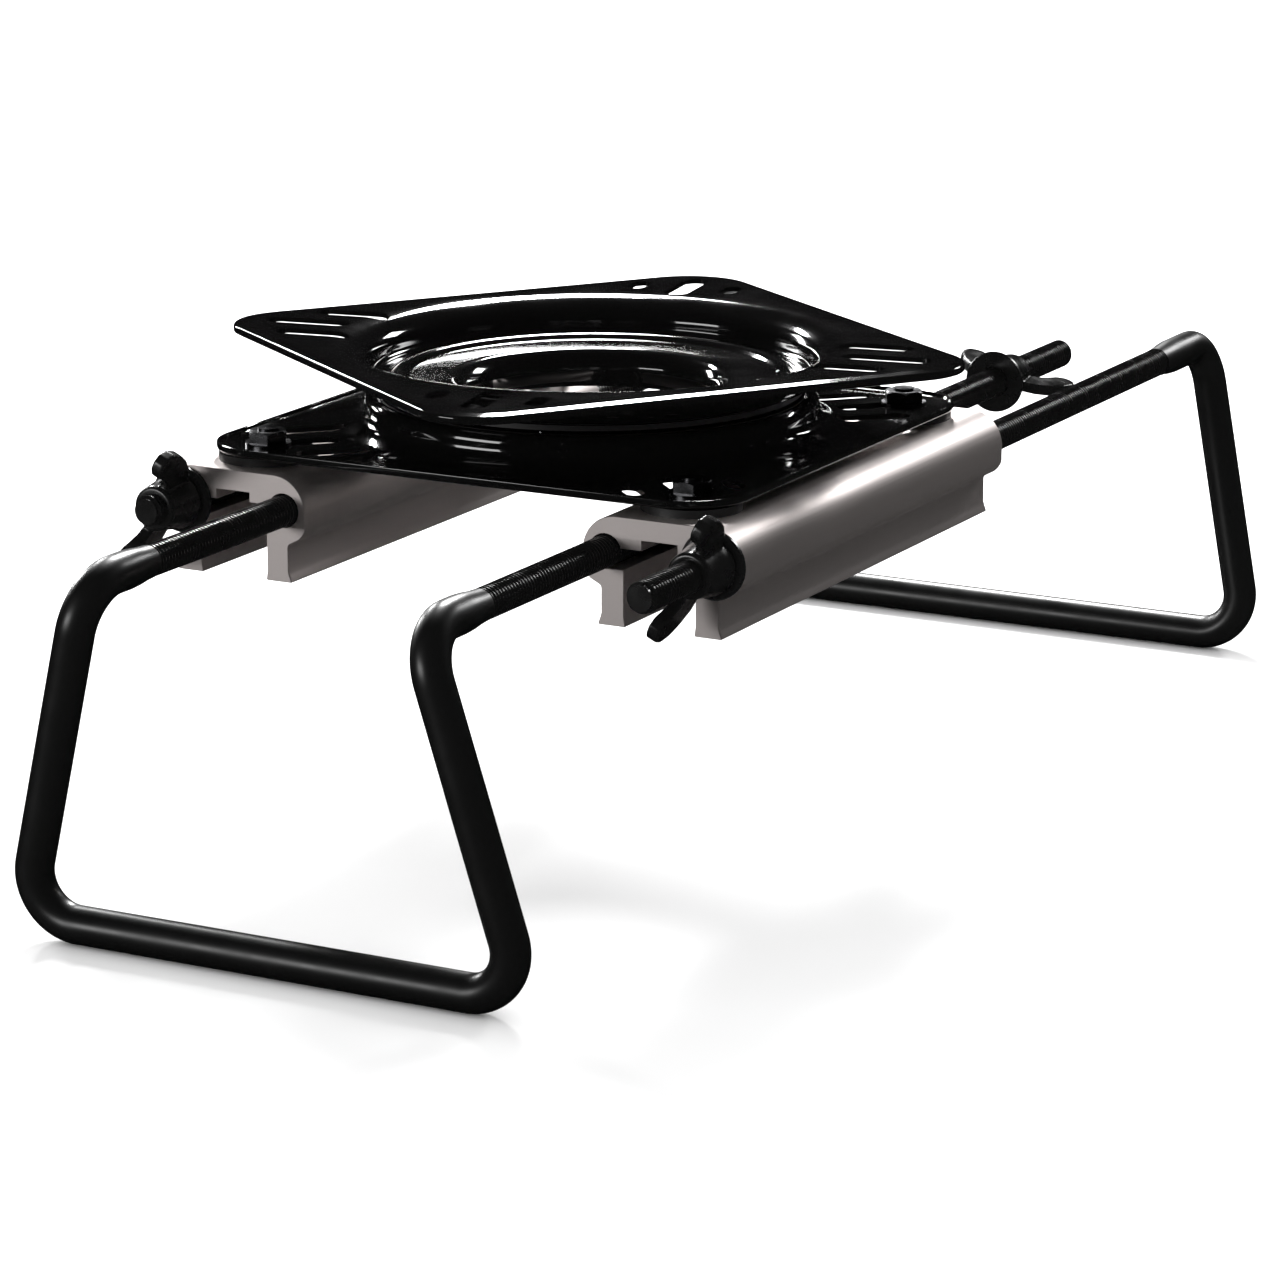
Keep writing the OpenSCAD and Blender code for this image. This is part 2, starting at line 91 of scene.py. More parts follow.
def mesh_object(name, verts, faces, smooth=True):
    me = bpy.data.meshes.new(name)
    me.from_pydata([(v[0] * MM, v[1] * MM, v[2] * MM) for v in verts], [], faces)
    me.validate()
    ob = bpy.data.objects.new(name, me)
    bpy.context.scene.collection.objects.link(ob)
    bm = bmesh.new()
    bm.from_mesh(me)
    bmesh.ops.remove_doubles(bm, verts=bm.verts, dist=1e-7)
    bmesh.ops.recalc_face_normals(bm, faces=bm.faces)
    bm.to_mesh(me)
    bm.free()
    for p in me.polygons:
        p.use_smooth = smooth
    return ob


def bake(ob):
    """Modifiers become the mesh."""
    dg = bpy.context.evaluated_depsgraph_get()
    me = bpy.data.meshes.new_from_object(ob.evaluated_get(dg))
    ob.modifiers.clear()
    ob.data = me
    return ob


def settle(ob):
    """Placement goes into the vertices."""
    ob.data.transform(ob.matrix_world)
    ob.matrix_world = Matrix.Identity(4)
    return ob


def prism(verts, faces, outline, low, high):
    """A straight prism on an outline, added to the lists of a cutter."""
    base, m = len(verts), len(outline)
    verts += [(x, y, z) for z in (low, high) for x, y in outline]
    faces.append([base + i for i in reversed(range(m))])
    faces.append([base + m + i for i in range(m)])
    for i in range(m):
        j = (i + 1) % m
        faces.append([base + i, base + j, base + m + j, base + m + i])


def cut(ob, verts, faces):
    """Closed shapes are taken out of a piece."""
    cutter = mesh_object("cutter", verts, faces, False)
    m = ob.modifiers.new("cut", "BOOLEAN")
    m.operation = "DIFFERENCE"
    m.solver = "EXACT"
    m.object = cutter
    bake(ob)
    bpy.data.objects.remove(cutter)


def sharp_by_angle(ob, deg, outward=False):
    """Smooth faces, with sharp edges where they meet at more than an angle."""
    me = ob.data
    bm = bmesh.new()
    bm.from_mesh(me)
    if outward:
        bmesh.ops.recalc_face_normals(bm, faces=bm.faces)
    for f in bm.faces:
        f.smooth = True
    for e in bm.edges:
        e.smooth = not (len(e.link_faces) == 2 and e.calc_face_angle(0) > radians(deg))
    bm.to_mesh(me)
    bm.free()
    return ob


def join(name, obs):
    for o in obs:
        settle(o)
    bm = bmesh.new()
    for o in obs:
        bm.from_mesh(o.data)
    me = bpy.data.meshes.new(name)
    bm.to_mesh(me)
    bm.free()
    for o in obs:
        bpy.data.objects.remove(o)
    ob = bpy.data.objects.new(name, me)
    bpy.context.scene.collection.objects.link(ob)
    return ob


def arc(cx, cy, r, a0, a1, n):
    """Points of an arc in n steps, angles in degrees."""
    return [(cx + r * cos(radians(a0 + (a1 - a0) * i / n)),
             cy + r * sin(radians(a0 + (a1 - a0) * i / n))) for i in range(n + 1)]


def plate_path(inner_kind):
    """Dish side line and drum side line of the pressing, from the lip inward, [r, height]."""
    wcx = DRUM_R + WALL_R - SHEET
    lcx = wcx + (LIP_R - WALL_R) * sin(radians(LIP_TURN))
    wcy = LIP_R - (LIP_R - WALL_R) * cos(radians(LIP_TURN))
    fcy = RISE - FLOOR_R
    mid = HEIGHT / 2
    ftop = RISE - SHEET

    def line(off):
        p = arc(lcx, LIP_R, LIP_R - off, -90, -90 - LIP_TURN, 7)
        p += arc(wcx, wcy, WALL_R - off, -90 - LIP_TURN, -180, 7)[1:]
        p += arc(DRUM_R - FLOOR_R, fcy, FLOOR_R - SHEET + off, 0, 90, 7)
        return p
    dish, drum = line(0), line(SHEET)
    for pts, r, base in ((dish, GROOVE + SHEET, ftop), (drum, GROOVE, RISE)):
        h = mid - base
        half = sqrt(r * r - h * h)
        a = degrees(atan2(half, h))
        # a small fillet on either side of the ridge
        pts += [(RACE_R + half + 0.5, base), (RACE_R + half + 0.15, base - 0.06)]
        seg = arc(RACE_R, mid, r, -90 + a, -90 - a, 14)
        pts += seg[1:-1]
        pts += [(RACE_R - half - 0.15, base - 0.06), (RACE_R - half - 0.5, base)]
    if inner_kind == "neck":
        cy = ftop + NECK_BEND
        flange_top = HEIGHT - RISE + SHEET + SLIP + 0.1
        dish += arc(NECK_R + NECK_BEND, cy, NECK_BEND, -90, -180, 9)
        drum += arc(NECK_R + NECK_BEND, cy, NECK_BEND - SHEET, -90, -180, 9)
        ri = 0.5
        dish += arc(NECK_R + SHEET + ri, flange_top - ri, ri + SHEET, 180, 90, 6)
        drum += arc(NECK_R + SHEET + ri, flange_top - ri, ri, 180, 90, 6)
        dish += [(FLANGE_R - 0.4, flange_top + SHEET), (FLANGE_R, flange_top + SHEET - 0.4)]
        drum += [(FLANGE_R - 0.4, flange_top), (FLANGE_R, flange_top + 0.4)]
    else:
        dish += [(HOLE_R + 0.4, ftop), (HOLE_R, ftop + 0.4)]
        drum += [(HOLE_R + 0.4, RISE), (HOLE_R, RISE - 0.4)]
    return lcx, dish, drum


def square_reach(a):
    """Distance from the centre to the edge of the rounded square, at an angle."""
    s, r = SIDE / 2, CORNER
    c, d = abs(cos(a)), abs(sin(a))
    if c < d:
        c, d = d, c
    t = s / c
    if t * d <= s - r:
        return t
    k = s - r
    b = k * (c + d)
    return b + sqrt(b * b - 2 * k * k + r * r)


def plate(name, kind):
    """Pressed plate on a polar grid, mounting face at height 0 and drum upward."""
    lip_r, dish, drum = plate_path(kind)
    n = 360
    flat = (0.3, 0.6, 0.85)
    # edge strip leaning down, then turned over and back: inset from the edge, height
    rim = [(EDGE_IN, 0.0), (3.4, 0.02), (3.0, 0.08), (1.95, 0.265), (EDGE_R, 0.45)]
    rim += [(EDGE_R - EDGE_R * sin(radians(t)), 1.34 - EDGE_R * cos(radians(t)))
            for t in range(2 * EDGE_LEAN, 91, 10)]
    rim += [(0.0, 2.4), (0.05, 2.75), (0.3, 2.9), (0.8, 2.9), (1.15, 2.75), (1.3, 2.4),
            (1.5, 2.0), (2.2, 1.7), (EDGE_IN, SHEET)]
    verts, rings = [], 0
    angles = [2 * pi * i / n for i in range(n)]

    def ring(fn):
        nonlocal rings
        for a in angles:
            r, z = fn(a)
            verts.append((r * cos(a), r * sin(a), z))
        rings += 1
    for r, z in reversed(dish):
        ring(lambda a: (r, z))
    for f in flat:
        ring(lambda a: (lip_r + (square_reach(a) - EDGE_IN - lip_r) * f, 0.0))
    for i, z in rim:
        ring(lambda a: (square_reach(a) - i, z))
    for f in reversed(flat):
        ring(lambda a: (lip_r + (square_reach(a) - EDGE_IN - lip_r) * f, SHEET))
    for r, z in drum:
        ring(lambda a: (r, z))
    faces = []
    for k in range(rings):
        k2 = (k + 1) % rings
        for i in range(n):
            j = (i + 1) % n
            faces.append((k * n + i, k * n + j, k2 * n + j, k2 * n + i))
    ob = mesh_object(name, verts, faces)
    slot_v, slot_f = [], []

    def stadium(turn, inner, outer, aside, w):
        pts = [(outer - w / 2 + w / 2 * cos(t), aside + w / 2 * sin(t))
               for t in [radians(-90 + 180 * i / 14) for i in range(15)]]
        pts += [(inner + w / 2 + w / 2 * cos(t), aside + w / 2 * sin(t))
                for t in [radians(90 + 180 * i / 14) for i in range(15)]]
        c, s = cos(radians(turn)), sin(radians(turn))
        prism(slot_v, slot_f, [(x * c - y * s, x * s + y * c) for x, y in pts], -2, 6)
    for turns, inner, outer, w, asides in SLOTS:
        for turn in turns:
            for aside in asides:
                stadium(turn, inner, outer, aside, w)
    cut(ob, slot_v, slot_f)
    sharp_by_angle(ob, 40)
    return ob


lower = plate("lower_plate_sheet", "hole")
lower.data.transform(Matrix.Translation(Vector((0, SW_Y, LOW_Z)) * MM))
upper = plate("upper_plate_sheet", "neck")
upper.data.transform(Matrix.Scale(-1, 4, (0, 0, 1)))
upper.data.flip_normals()
upper.data.transform(Matrix.Translation(Vector((0, SW_Y, UP_Z)) * MM)
                     @ Matrix.Rotation(radians(TURN), 4, "Z"))
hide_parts("lower_plate")
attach(lower, "base")
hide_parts("upper_plate")
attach(upper, "turntable")


def rail_profile():
    """Right half of the section from the channel's roof round to the top, [x, height]."""
    half, top, sr = 25.2, RAIL_TOP, 11.0
    ch, roof, rib, shelf, foot = 5.75, 4.2, 1.2, 5.0, 22.05
    lo, li = 19.1, 11.6
    pr = THREAD / 2 + POCKET_GAP
    p = [(0, roof), (ch, roof), (ch, rib)]
    a0 = degrees(asin(rib / pr))
    p += [(POCKET + pr * cos(radians(a)), pr * sin(radians(a)))
          for a in [180 - a0 - (360 - a0 - 78.6) * i / 30 for i in range(31)]]
    p += [(li, -shelf), (li, -19), (li - 0.4, -foot + 0.3), (li - 0.1, -foot),
          (lo + 0.7, -foot), (lo + 1, -foot + 0.3), (lo + 0.95, -21.4), (lo + 0.4, -20),
          (lo, -18.6), (lo, -12)]
    p += arc(lo + 1.6, -12 + 0.6, 1.6, 180, 130, 4)
    p += [(half - 2.4, -8.6), (half - 1.1, -7.3), (half - 0.25, -5.9), (half, -4.8)]
    p += arc(half - sr, top - sr, sr, 0, 90, 22)
    return p


def rail(name, side):
    p = rail_profile()
    prof = p + [(-x, z) for x, z in reversed(p) if x > 1e-6]
    n = len(prof)
    brk = 0.35
    verts, faces = [], []
    ys = [-RAIL_HALF, -RAIL_HALF + brk, RAIL_HALF - brk, RAIL_HALF]
    # inset outline for a small edge break at both ends
    ins = []
    for i in range(n):
        x0, z0 = prof[i - 1]
        x1, z1 = prof[i]
        x2, z2 = prof[(i + 1) % n]
        a = Vector((x1 - x0, z1 - z0))
        b = Vector((x2 - x1, z2 - z1))
        a = a.normalized() if a.length > 1e-9 else b.normalized()
        b = b.normalized() if b.length > 1e-9 else a
        nn = Vector((a.y + b.y, -a.x - b.x))
        nn = nn.normalized() if nn.length > 1e-6 else Vector((a.y, -a.x))
        ins.append((x1 + nn.x * brk * 0.6, z1 + nn.y * brk * 0.6))
    area = sum(prof[i][0] * prof[(i + 1) % n][1] - prof[(i + 1) % n][0] * prof[i][1]
               for i in range(n))
    if area > 0:
        ins = [(2 * a[0] - b[0], 2 * a[1] - b[1]) for a, b in zip(prof, ins)]
    for y, q in zip(ys, (ins, prof, prof, ins)):
        verts += [(side * RAIL_X + x, SW_Y + y, AXIS_Z + z) for x, z in q]
    for k in range(3):
        for i in range(n):
            j = (i + 1) % n
            faces.append((k * n + i, k * n + j, (k + 1) * n + j, (k + 1) * n + i))
    faces.append(tuple(range(n)))
    faces.append(tuple(3 * n + i for i in range(n)))
    ob = mesh_object(name, verts, faces)
    hole_v, hole_f = [], []
    for y in (-BOLT_Y, BOLT_Y):
        prism(hole_v, hole_f,
              [(side * RAIL_X + BOLT_HOLE_R * cos(2 * pi * i / 32),
                SW_Y + y + BOLT_HOLE_R * sin(2 * pi * i / 32)) for i in range(32)],
              AXIS_Z + 2, AXIS_Z + 14)
    cut(ob, hole_v, hole_f)
    sharp_by_angle(ob, 24)
    return ob


rails = []
for side, s in SIDES:
    r = rail(side + "_rail_extrusion", s)
    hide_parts(side + "_rail")
    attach(r, "base")
    rails.append(r)


def sweep(points, dirs, radii, n=40):
    """Tube through points with given tangents, first section frame carried along."""
    verts, faces = [], []
    up = Vector((0, 0, 1))
    x = dirs[0].cross(up).normalized()
    prev = dirs[0]
    for p, d, r in zip(points, dirs, radii):
        q = prev.rotation_difference(d)
        x = (q @ x).normalized()
        prev = d
        y = d.cross(x).normalized()
        for i in range(n):
            a = 2 * pi * i / n
            verts.append(p + (x * cos(a) + y * sin(a)) * r)
    m = len(points)
    for k in range(m - 1):
        for i in range(n):
            j = (i + 1) % n
            faces.append((k * n + i, k * n + j, (k + 1) * n + j, (k + 1) * n + i))
    faces.append(tuple(reversed(range(n))))
    faces.append(tuple((m - 1) * n + i for i in range(n)))
    return verts, faces


# the coated rod thins to the thread over this length
TAPER = (0.0, 4.0, 8.0, 12.0)


def loop_line(way, x, reach, splay, shoulder, **rest):
    """Centre line of the thick rod from one shoulder to the other."""
    c = Vector((x, way * reach, 0))
    e = c + Vector((splay, -way * LEAN, -DROP))
    corners = [Vector((-x, shoulder, 0)), Vector((-c.x, c.y, c.z)),
               Vector((-e.x, e.y, e.z)), e, c, Vector((x, shoulder, 0))]
    pts, dirs = [], []
    d0 = (corners[1] - corners[0]).normalized()
    for t in TAPER:
        pts.append(corners[0] + d0 * t)
        dirs.append(d0)
    for k in range(1, len(corners) - 1):
        a, b, c2 = corners[k - 1], corners[k], corners[k + 1]
        u = (b - a).normalized()
        v = (c2 - b).normalized()
        th = u.angle(v)
        t = BEND * tan(th / 2)
        ax = u.cross(v).normalized()
        cen = b - u * t + ax.cross(u).normalized() * BEND
        steps = 22
        for i in range(steps + 1):
            q = Matrix.Rotation(th * i / steps, 3, ax)
            pts.append(cen + q @ (b - u * t - cen))
            dirs.append(q @ u)
    d1 = (corners[-1] - corners[-2]).normalized()
    for t in reversed(TAPER):
        pts.append(corners[-1] - d1 * t)
        dirs.append(d1)
    return pts, dirs


def loop(name):
    """The coated rod of a loop, thinned to the thread at both shoulders."""
    pts, dirs = loop_line(**LOOPS[name])
    radii = [ROD / 2] * len(pts)
    for i, part in enumerate((0.0, 0.25, 0.75, 1.0)):
        radii[i] = radii[-1 - i] = THREAD / 2 + 0.05 + part * ((ROD - THREAD) / 2 - 0.05)
    v, f = sweep(pts, dirs, radii)
    rod = mesh_object(name + "_loop_rod", [(p.x, p.y, p.z) for p in v], f)
    rod.data.transform(Matrix.Translation(Vector((0, SW_Y, AXIS_Z)) * MM))
    sharp_by_angle(rod, 35)
    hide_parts(name + "_loop")
    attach(rod, name + "_loop_body")
    return rod


loops = [loop(name) for name in LOOPS]


def thread_group():
    """Screw thread along +Y from the shoulder: a core and a helical ridge swept round it."""
    g = bpy.data.node_groups.new("screw_thread", "GeometryNodeTree")
    sock = {}
    for nm, default in (("Length", 100 * MM), ("Radius", THREAD / 2 * MM),
                        ("Pitch", PITCH * MM), ("Depth", DEPTH * MM)):
        s = g.interface.new_socket(nm, in_out="INPUT", socket_type="NodeSocketFloat")
        s.default_value = default
        sock[nm] = s.identifier
    sock["Material"] = g.interface.new_socket(
        "Material", in_out="INPUT", socket_type="NodeSocketMaterial").identifier
    g.interface.new_socket("Geometry", in_out="OUTPUT", socket_type="NodeSocketGeometry")
    N, L = g.nodes, g.links
    gi, go = N.new("NodeGroupInput"), N.new("NodeGroupOutput")

    def calc(op, a, b):
        n = N.new("ShaderNodeMath")
        n.operation = op
        for i, v in enumerate((a, b)):
            if isinstance(v, float):
                n.inputs[i].default_value = v
            else:
                L.new(v, n.inputs[i])
        return n.outputs[0]
    o = {nm: gi.outputs[nm] for nm in sock}
    core_r = calc("SUBTRACT", o["Radius"], o["Depth"])
    # the ridge starts half a pitch past the shoulder and fades before the tip
    run = calc("SUBTRACT", o["Length"], calc("MULTIPLY", o["Pitch"], 1.2))
    turns = calc("DIVIDE", run, o["Pitch"])
    helix = N.new("GeometryNodeCurveSpiral")
    helix.inputs["Resolution"].default_value = 32
    L.new(turns, helix.inputs["Rotations"])
    L.new(core_r, helix.inputs["Start Radius"])
    L.new(core_r, helix.inputs["End Radius"])
    L.new(calc("MULTIPLY", turns, o["Pitch"]), helix.inputs["Height"])
    # triangle section, its flat base sunk a little into the core
    tri = N.new("GeometryNodeCurvePrimitiveQuadrilateral")
    tri.mode = "POINTS"
    half = calc("MULTIPLY", o["Pitch"], 0.44)
    crest = calc("MULTIPLY", o["Pitch"], 0.07)
    sunk = calc("MULTIPLY", o["Depth"], 0.25)
    rise = calc("MULTIPLY", o["Depth"], -1.0)
    for i, (px, py) in enumerate(((half, sunk), (crest, rise),
                                  (calc("MULTIPLY", crest, -1.0), rise),
                                  (calc("MULTIPLY", half, -1.0), sunk))):
        c = N.new("ShaderNodeCombineXYZ")
        L.new(py, c.inputs[0])
        L.new(px, c.inputs[1])
        L.new(c.outputs[0], tri.inputs["Point %d" % (i + 1)])
    up = N.new("GeometryNodeSetCurveNormal")
    up.mode = "Z_UP"
    L.new(helix.outputs[0], up.inputs[0])
    ridge = N.new("GeometryNodeCurveToMesh")
    L.new(up.outputs[0], ridge.inputs["Curve"])
    L.new(tri.outputs[0], ridge.inputs["Profile Curve"])
    ridge.inputs["Fill Caps"].default_value = True
    lift = N.new("GeometryNodeTransform")
    L.new(ridge.outputs[0], lift.inputs[0])
    off = N.new("ShaderNodeCombineXYZ")
    L.new(calc("MULTIPLY", o["Pitch"], 0.5), off.inputs[2])
    L.new(off.outputs[0], lift.inputs["Translation"])
    # core, from a little inside the coated rod to the tip
    core = N.new("GeometryNodeMeshCylinder")
    core.inputs["Vertices"].default_value = 40
    L.new(core_r, core.inputs["Radius"])
    L.new(calc("ADD", o["Length"], 0.001), core.inputs["Depth"])
    tc = N.new("GeometryNodeTransform")
    L.new(core.outputs[0], tc.inputs[0])
    c2 = N.new("ShaderNodeCombineXYZ")
    L.new(calc("SUBTRACT", calc("MULTIPLY", o["Length"], 0.5), 0.0005), c2.inputs[2])
    L.new(c2.outputs[0], tc.inputs["Translation"])
    jn = N.new("GeometryNodeJoinGeometry")
    L.new(lift.outputs[0], jn.inputs[0])
    L.new(tc.outputs[0], jn.inputs[0])
    turn = N.new("GeometryNodeTransform")
    turn.inputs["Rotation"].default_value = (-pi / 2, 0, 0)
    L.new(jn.outputs[0], turn.inputs[0])
    sm = N.new("GeometryNodeSetShadeSmooth")
    sm.inputs["Shade Smooth"].default_value = True
    L.new(turn.outputs[0], sm.inputs[0])
    real = N.new("GeometryNodeRealizeInstances")
    L.new(sm.outputs[0], real.inputs[0])
    mat = N.new("GeometryNodeSetMaterial")
    L.new(real.outputs[0], mat.inputs[0])
    L.new(o["Material"], mat.inputs["Material"])
    L.new(mat.outputs[0], go.inputs[0])
    return g, sock


THREADS, SOCK = thread_group()


def tree(mat):
    mat.use_nodes = True
    return mat.node_tree.nodes, mat.node_tree.links, mat.node_tree.nodes["Principled BSDF"]


def handling_group():
    """Faint handling marks: uneven roughness and height, from object space."""
    g = bpy.data.node_groups.new("handling", "ShaderNodeTree")
    for nm, d in (("Scale", 40.0), ("Rough low", 0.1), ("Rough high", 0.2)):
        s = g.interface.new_socket(nm, in_out="INPUT", socket_type="NodeSocketFloat")
        s.default_value = d
    g.interface.new_socket("Roughness", in_out="OUTPUT", socket_type="NodeSocketFloat")
    g.interface.new_socket("Height", in_out="OUTPUT", socket_type="NodeSocketFloat")
    N, L = g.nodes, g.links
    gi, go = N.new("NodeGroupInput"), N.new("NodeGroupOutput")
    tc = N.new("ShaderNodeTexCoord")
    nz = N.new("ShaderNodeTexNoise")
    nz.inputs["Detail"].default_value = 5
    L.new(tc.outputs["Object"], nz.inputs["Vector"])
    L.new(gi.outputs["Scale"], nz.inputs["Scale"])
    mr = N.new("ShaderNodeMapRange")
    mr.inputs["From Min"].default_value = 0.35
    mr.inputs["From Max"].default_value = 0.7
    L.new(nz.outputs["Fac"], mr.inputs["Value"])
    L.new(gi.outputs["Rough low"], mr.inputs["To Min"])
    L.new(gi.outputs["Rough high"], mr.inputs["To Max"])
    L.new(mr.outputs["Result"], go.inputs["Roughness"])
    L.new(nz.outputs["Fac"], go.inputs["Height"])
    return g


HANDLING = handling_group()


def plain(name, base, low, high, scale, coat=0.0, bump=0.0, metallic=0.0):
    """One colour all over, with the handling marks in its gloss."""
    m = bpy.data.materials.new(name)
    N, L, p = tree(m)
    p.inputs["Base Color"].default_value = (*base, 1)
    p.inputs["Metallic"].default_value = metallic
    g = N.new("ShaderNodeGroup")
    g.node_tree = HANDLING
    g.inputs["Scale"].default_value = scale
    g.inputs["Rough low"].default_value = low
    g.inputs["Rough high"].default_value = high
    L.new(g.outputs["Roughness"], p.inputs["Roughness"])
    if coat:
        p.inputs["Coat Weight"].default_value = coat
        p.inputs["Coat Roughness"].default_value = 0.04
    if bump:
        b = N.new("ShaderNodeBump")
        b.inputs["Strength"].default_value = 1.0
        b.inputs["Distance"].default_value = bump
        L.new(g.outputs["Height"], b.inputs["Height"])
        L.new(b.outputs["Normal"], p.inputs["Normal"])
    return m


def aluminium(name):
    """Satin extrusion: fine lines along Y in roughness and height."""
    m = bpy.data.materials.new(name)
    N, L, p = tree(m)
    p.inputs["Base Color"].default_value = (0.62, 0.57, 0.555, 1)
    p.inputs["Metallic"].default_value = 0.93
    tc = N.new("ShaderNodeTexCoord")
    mp = N.new("ShaderNodeMapping")
    mp.inputs["Scale"].default_value = (1, 0.02, 1)
    nz = N.new("ShaderNodeTexNoise")
    nz.inputs["Scale"].default_value = 1400
    nz.inputs["Detail"].default_value = 3
    L.new(tc.outputs["Object"], mp.inputs["Vector"])
    L.new(mp.outputs["Vector"], nz.inputs["Vector"])
    mr = N.new("ShaderNodeMapRange")
    mr.inputs["To Min"].default_value = 0.4
    mr.inputs["To Max"].default_value = 0.52
    L.new(nz.outputs["Fac"], mr.inputs["Value"])
    L.new(mr.outputs["Result"], p.inputs["Roughness"])
    b = N.new("ShaderNodeBump")
    b.inputs["Distance"].default_value = 0.00002
    L.new(nz.outputs["Fac"], b.inputs["Height"])
    L.new(b.outputs["Normal"], p.inputs["Normal"])
    return m


MATS = {
    "black_enamel": plain("black_enamel", (0.003, 0.003, 0.003), 0.06, 0.11, 60, coat=0.5),
    "rod_black": plain("rod_black", (0.004, 0.004, 0.004), 0.3, 0.4, 90, bump=0.00002),
    "fastener_black": plain("fastener_black", (0.005, 0.005, 0.005), 0.16, 0.34, 140,
                            bump=0.00005),
    "black_plastic": plain("black_plastic", (0.01, 0.01, 0.01), 0.4, 0.5, 140),
    "black_zinc": plain("black_zinc", (0.11, 0.11, 0.115), 0.16, 0.32, 160, metallic=1.0),
    "ball_steel": plain("ball_steel", (0.7, 0.7, 0.72), 0.05, 0.08, 100, metallic=1.0),
    "rail_aluminium": aluminium("rail_aluminium"),
}


def finish(ob, name):
    ob.data.materials.clear()
    ob.data.materials.append(MATS[name])
    return ob


for sheet in (lower, upper):
    finish(sheet, "black_enamel")
for r in rails:
    finish(r, "rail_aluminium")
for rod in loops:
    finish(rod, "rod_black")

for name, k in LOOPS.items():
    for (side, s), tip in zip(SIDES, k["tips"]):
        host = mesh_object(f"{name}_{side}_thread", [(0, 0, 0), (1, 0, 0), (0, 1, 0)],
                           [(0, 1, 2)])
        md = host.modifiers.new("thread", "NODES")
        md.node_group = THREADS
        md[SOCK["Length"]] = abs(tip - k["shoulder"]) * MM
        md[SOCK["Radius"]] = THREAD / 2 * MM
        md[SOCK["Pitch"]] = PITCH * MM
        md[SOCK["Depth"]] = DEPTH * MM
        md[SOCK["Material"]] = MATS["fastener_black"]
        bake(host)
        if k["way"] > 0:
            host.data.transform(Matrix.Rotation(pi, 4, "Z"))
        host.data.transform(
            Matrix.Translation(Vector((s * k["x"], SW_Y + k["shoulder"], AXIS_Z)) * MM))
        sharp_by_angle(host, 50, True)
        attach(host, name + "_loop_body")


def lathe(profile, n=48):
    """Closed ring section turned about +Z."""
    verts, faces = [], []
    m = len(profile)
    for i in range(n):
        a = 2 * pi * i / n
        verts += [(r * cos(a), r * sin(a), z) for r, z in profile]
    for i in range(n):
        k = (i + 1) % n
        for j in range(m):
            j2 = (j + 1) % m
            faces.append((i * m + j, k * m + j, k * m + j2, i * m + j2))
    return verts, faces


def wing_nut(name, turn):
    """Cast nut: hub and two wings blended by a voxel remesh, bore along +Z."""
    hub = mesh_object("hub", *lathe([(0.5, 0.4), (8.3, 0.4), (8.5, 0.8), (8.2, 4), (7.4, 9),
                                     (6.9, 13.2), (6.4, 14), (0.5, 14)], 40))
    # outline of a wing, [out, along the bore]
    out = [(0, 2.5), (8.2, 2.5), (12.8, 4.2), (16.7, 8), (19.5, 12.5), (20.6, 17.2),
           (19.8, 20.2), (17.9, 21.8), (15.2, 21.9), (12.9, 20.4), (11.6, 17.6), (9.8, 14.6),
           (7.0, 12.4), (0, 12.4)]
    wings = []
    for s in (-1, 1):
        verts, faces = [], []
        n = len(out)
        for k in (-1, 1):
            for x, z in out:
                t = 1.5 + 0.5 * (x / 20)
                verts.append((s * x, k * t, z))
        faces.append(tuple(range(n)))
        faces.append(tuple(n + i for i in range(n)))
        for i in range(n):
            j = (i + 1) % n
            faces.append((i, j, n + j, n + i))
        w = mesh_object("wing", verts, faces)
        bm = bmesh.new()
        bm.from_mesh(w.data)
        bmesh.ops.triangulate(bm, faces=bm.faces)
        bm.to_mesh(w.data)
        bm.free()
        wings.append(w)
    ob = join(name, [hub] + wings)
    m = ob.modifiers.new("cast", "REMESH")
    m.mode = "VOXEL"
    m.voxel_size = 0.00042
    sm = ob.modifiers.new("soft", "SMOOTH")
    sm.factor = 0.5
    sm.iterations = 7
    bake(ob)
    cut(ob, *lathe([(0.01, -3), (BORE_R, -3), (BORE_R, 18), (0.01, 18)], 40))
    ob.data.transform(Matrix.Rotation(radians(turn), 4, "Z"))
    sharp_by_angle(ob, 50)
    return ob


def flange(name):
    """Flange washer with a rounded, stepped rim."""
    ob = mesh_object(name, *lathe([
        (BORE_R, 0.15), (4.98, 0), (9.95, 0), (10.25, 0.3), (10.25, 1.3), (9.95, 1.65),
        (9.4, 2.3), (9.1, 2.4), (4.98, 2.4), (BORE_R, 2.25)], 64))
    sharp_by_angle(ob, 40)
    return ob


for name, k in LOOPS.items():
    spin = Matrix.Rotation(radians(90 * k["way"]), 4, "X")
    for side, s in SIDES:
        place = Matrix.Translation(
            Vector((s * k["x"], SW_Y + k["washer"], AXIS_Z)) * MM) @ spin
        w = flange(f"{name}_{side}_flange")
        w.data.transform(place)
        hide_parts(f"{name}_{side}_washer")
        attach(w, f"{name}_{side}_washer_body")
        finish(w, "fastener_black")
        nut = wing_nut(f"{name}_{side}_wings", k["wings"])
        nut.data.transform(place @ Matrix.Translation((0, 0, NUT_SEAT * MM)))
        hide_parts(f"{name}_{side}_wing_nut")
        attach(nut, f"{name}_{side}_nut_body")
        finish(nut, "fastener_black")

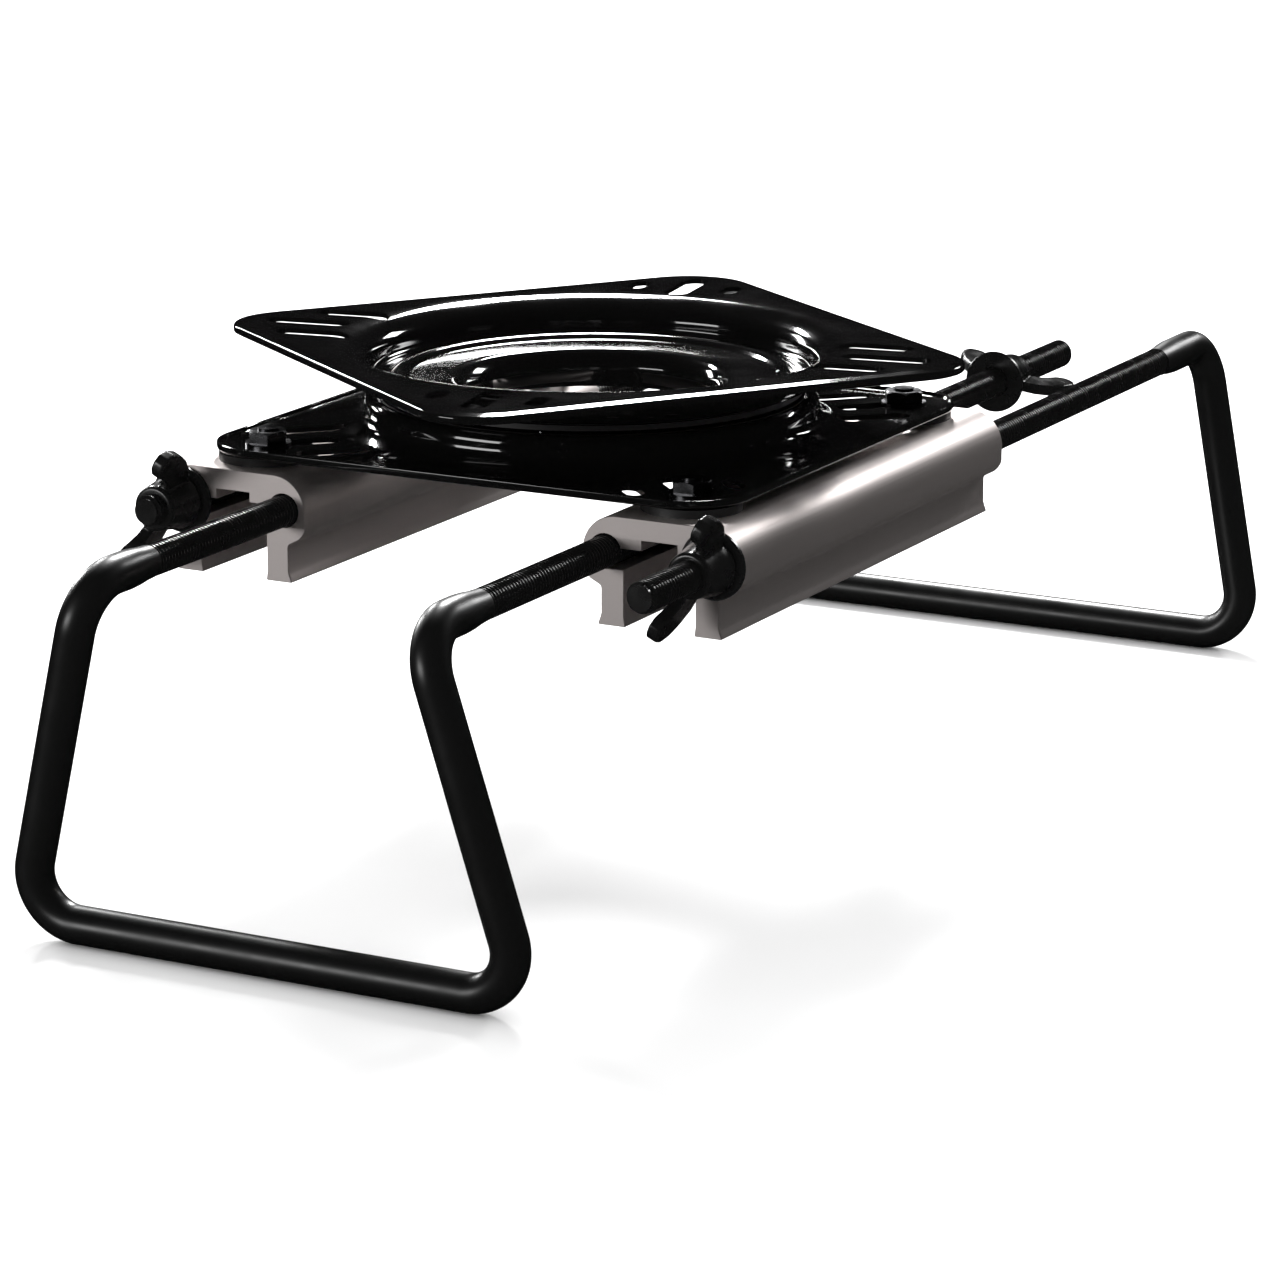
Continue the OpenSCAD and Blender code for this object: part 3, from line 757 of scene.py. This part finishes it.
# pieces of the source that show as they are, with their edges broken
for node, slot_name in (("ball_cage", "black_plastic"), ("race_balls", "ball_steel"),
                        ("slip_ring", "black_plastic"), ("corner_spacers", "black_plastic"),
                        ("plate_bolts", "black_zinc"), ("plate_washers", "black_zinc"),
                        ("plate_nuts", "black_zinc")):
    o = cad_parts[node]
    finish(o, slot_name)
    bv = o.modifiers.new("edge", "BEVEL")
    bv.width = 0.0002
    bv.segments = 2
    bv.limit_method = "ANGLE"
    bv.angle_limit = radians(40)

# stage, light and camera
FAR = 6000
floor = mesh_object("floor", [(-FAR, -FAR, 0), (FAR, -FAR, 0), (FAR, FAR, 0), (-FAR, FAR, 0)],
                    [(0, 1, 2, 3)], False)
fm = bpy.data.materials.new("floor")
paint = tree(fm)[2]
paint.inputs["Base Color"].default_value = (0.93, 0.93, 0.93, 1)
paint.inputs["Roughness"].default_value = 0.9
floor.data.materials.append(fm)
floor.visible_glossy = False

world = bpy.data.worlds.new("studio")
bpy.context.scene.world = world
world.use_nodes = True
wn, wl = world.node_tree.nodes, world.node_tree.links
bg = wn["Background"]
rays = wn.new("ShaderNodeLightPath")
bg.inputs["Color"].default_value = (1, 1, 1, 1)


def choose(fac, low, high):
    """A number that is low or high, by the kind of ray."""
    n = wn.new("ShaderNodeMix")
    for v, i in ((low, 2), (high, 3)):
        if isinstance(v, float):
            n.inputs[i].default_value = v
        else:
            wl.new(v, n.inputs[i])
    wl.new(fac, n.inputs[0])
    return n.outputs[0]


# what polished black mirrors is a dark studio; the eye and the floor see a white one
mirrored = choose(rays.outputs["Is Glossy Ray"], 1.0, 0.004)
wl.new(choose(rays.outputs["Is Camera Ray"], mirrored, 1.0), bg.inputs["Strength"])


def area(name, loc, target, size, power, size_y=None):
    """A rectangular lamp at loc, facing target."""
    d = bpy.data.lights.new(name, "AREA")
    d.energy = power
    d.shape = "RECTANGLE"
    d.size = size
    d.size_y = size_y or size
    o = bpy.data.objects.new(name, d)
    bpy.context.scene.collection.objects.link(o)
    o.location = loc
    o.rotation_euler = (Vector(target) - Vector(loc)).to_track_quat("-Z", "Y").to_euler()


area("softbox", (-0.603, 1.254, 1.236), (0, -0.04, 0.14), 0.31, 38, 0.48)
area("left broad", (-1.423, 0.564, 0.554), (0, -0.04, 0.14), 0.22, 8, 0.5)
area("left small", (-1.12, 0.84, 0.87), (0, -0.04, 0.14), 0.17, 9)
area("behind right", (0.47, 1.65, 0.95), (0, 0, 0.12), 0.5, 10, 0.35)
area("front left", (-1.0, -1.8, 0.35), (0, -0.1, 0.1), 0.9, 10, 0.5)

cam_d = bpy.data.cameras.new("camera")
cam = bpy.data.objects.new("camera", cam_d)
bpy.context.scene.collection.objects.link(cam)
# fitted to the photograph's plates, rails and rods; the focal length in its pixels
az, el, focal, frame_px = radians(28.01), radians(14.59), 4872.41, 1280
back = Vector((sin(az) * cos(el), -cos(az) * cos(el), sin(el)))
cam.location = Vector((703.96, -1291.94 + SW_Y, 328.55 + AXIS_Z)) * MM
cam.rotation_euler = (-back).to_track_quat("-Z", "Y").to_euler()
cam_d.sensor_width = 36
cam_d.lens = focal / frame_px * cam_d.sensor_width
cam_d.clip_end = 50
bpy.context.scene.camera = cam
bpy.context.scene.view_settings.view_transform = "Standard"
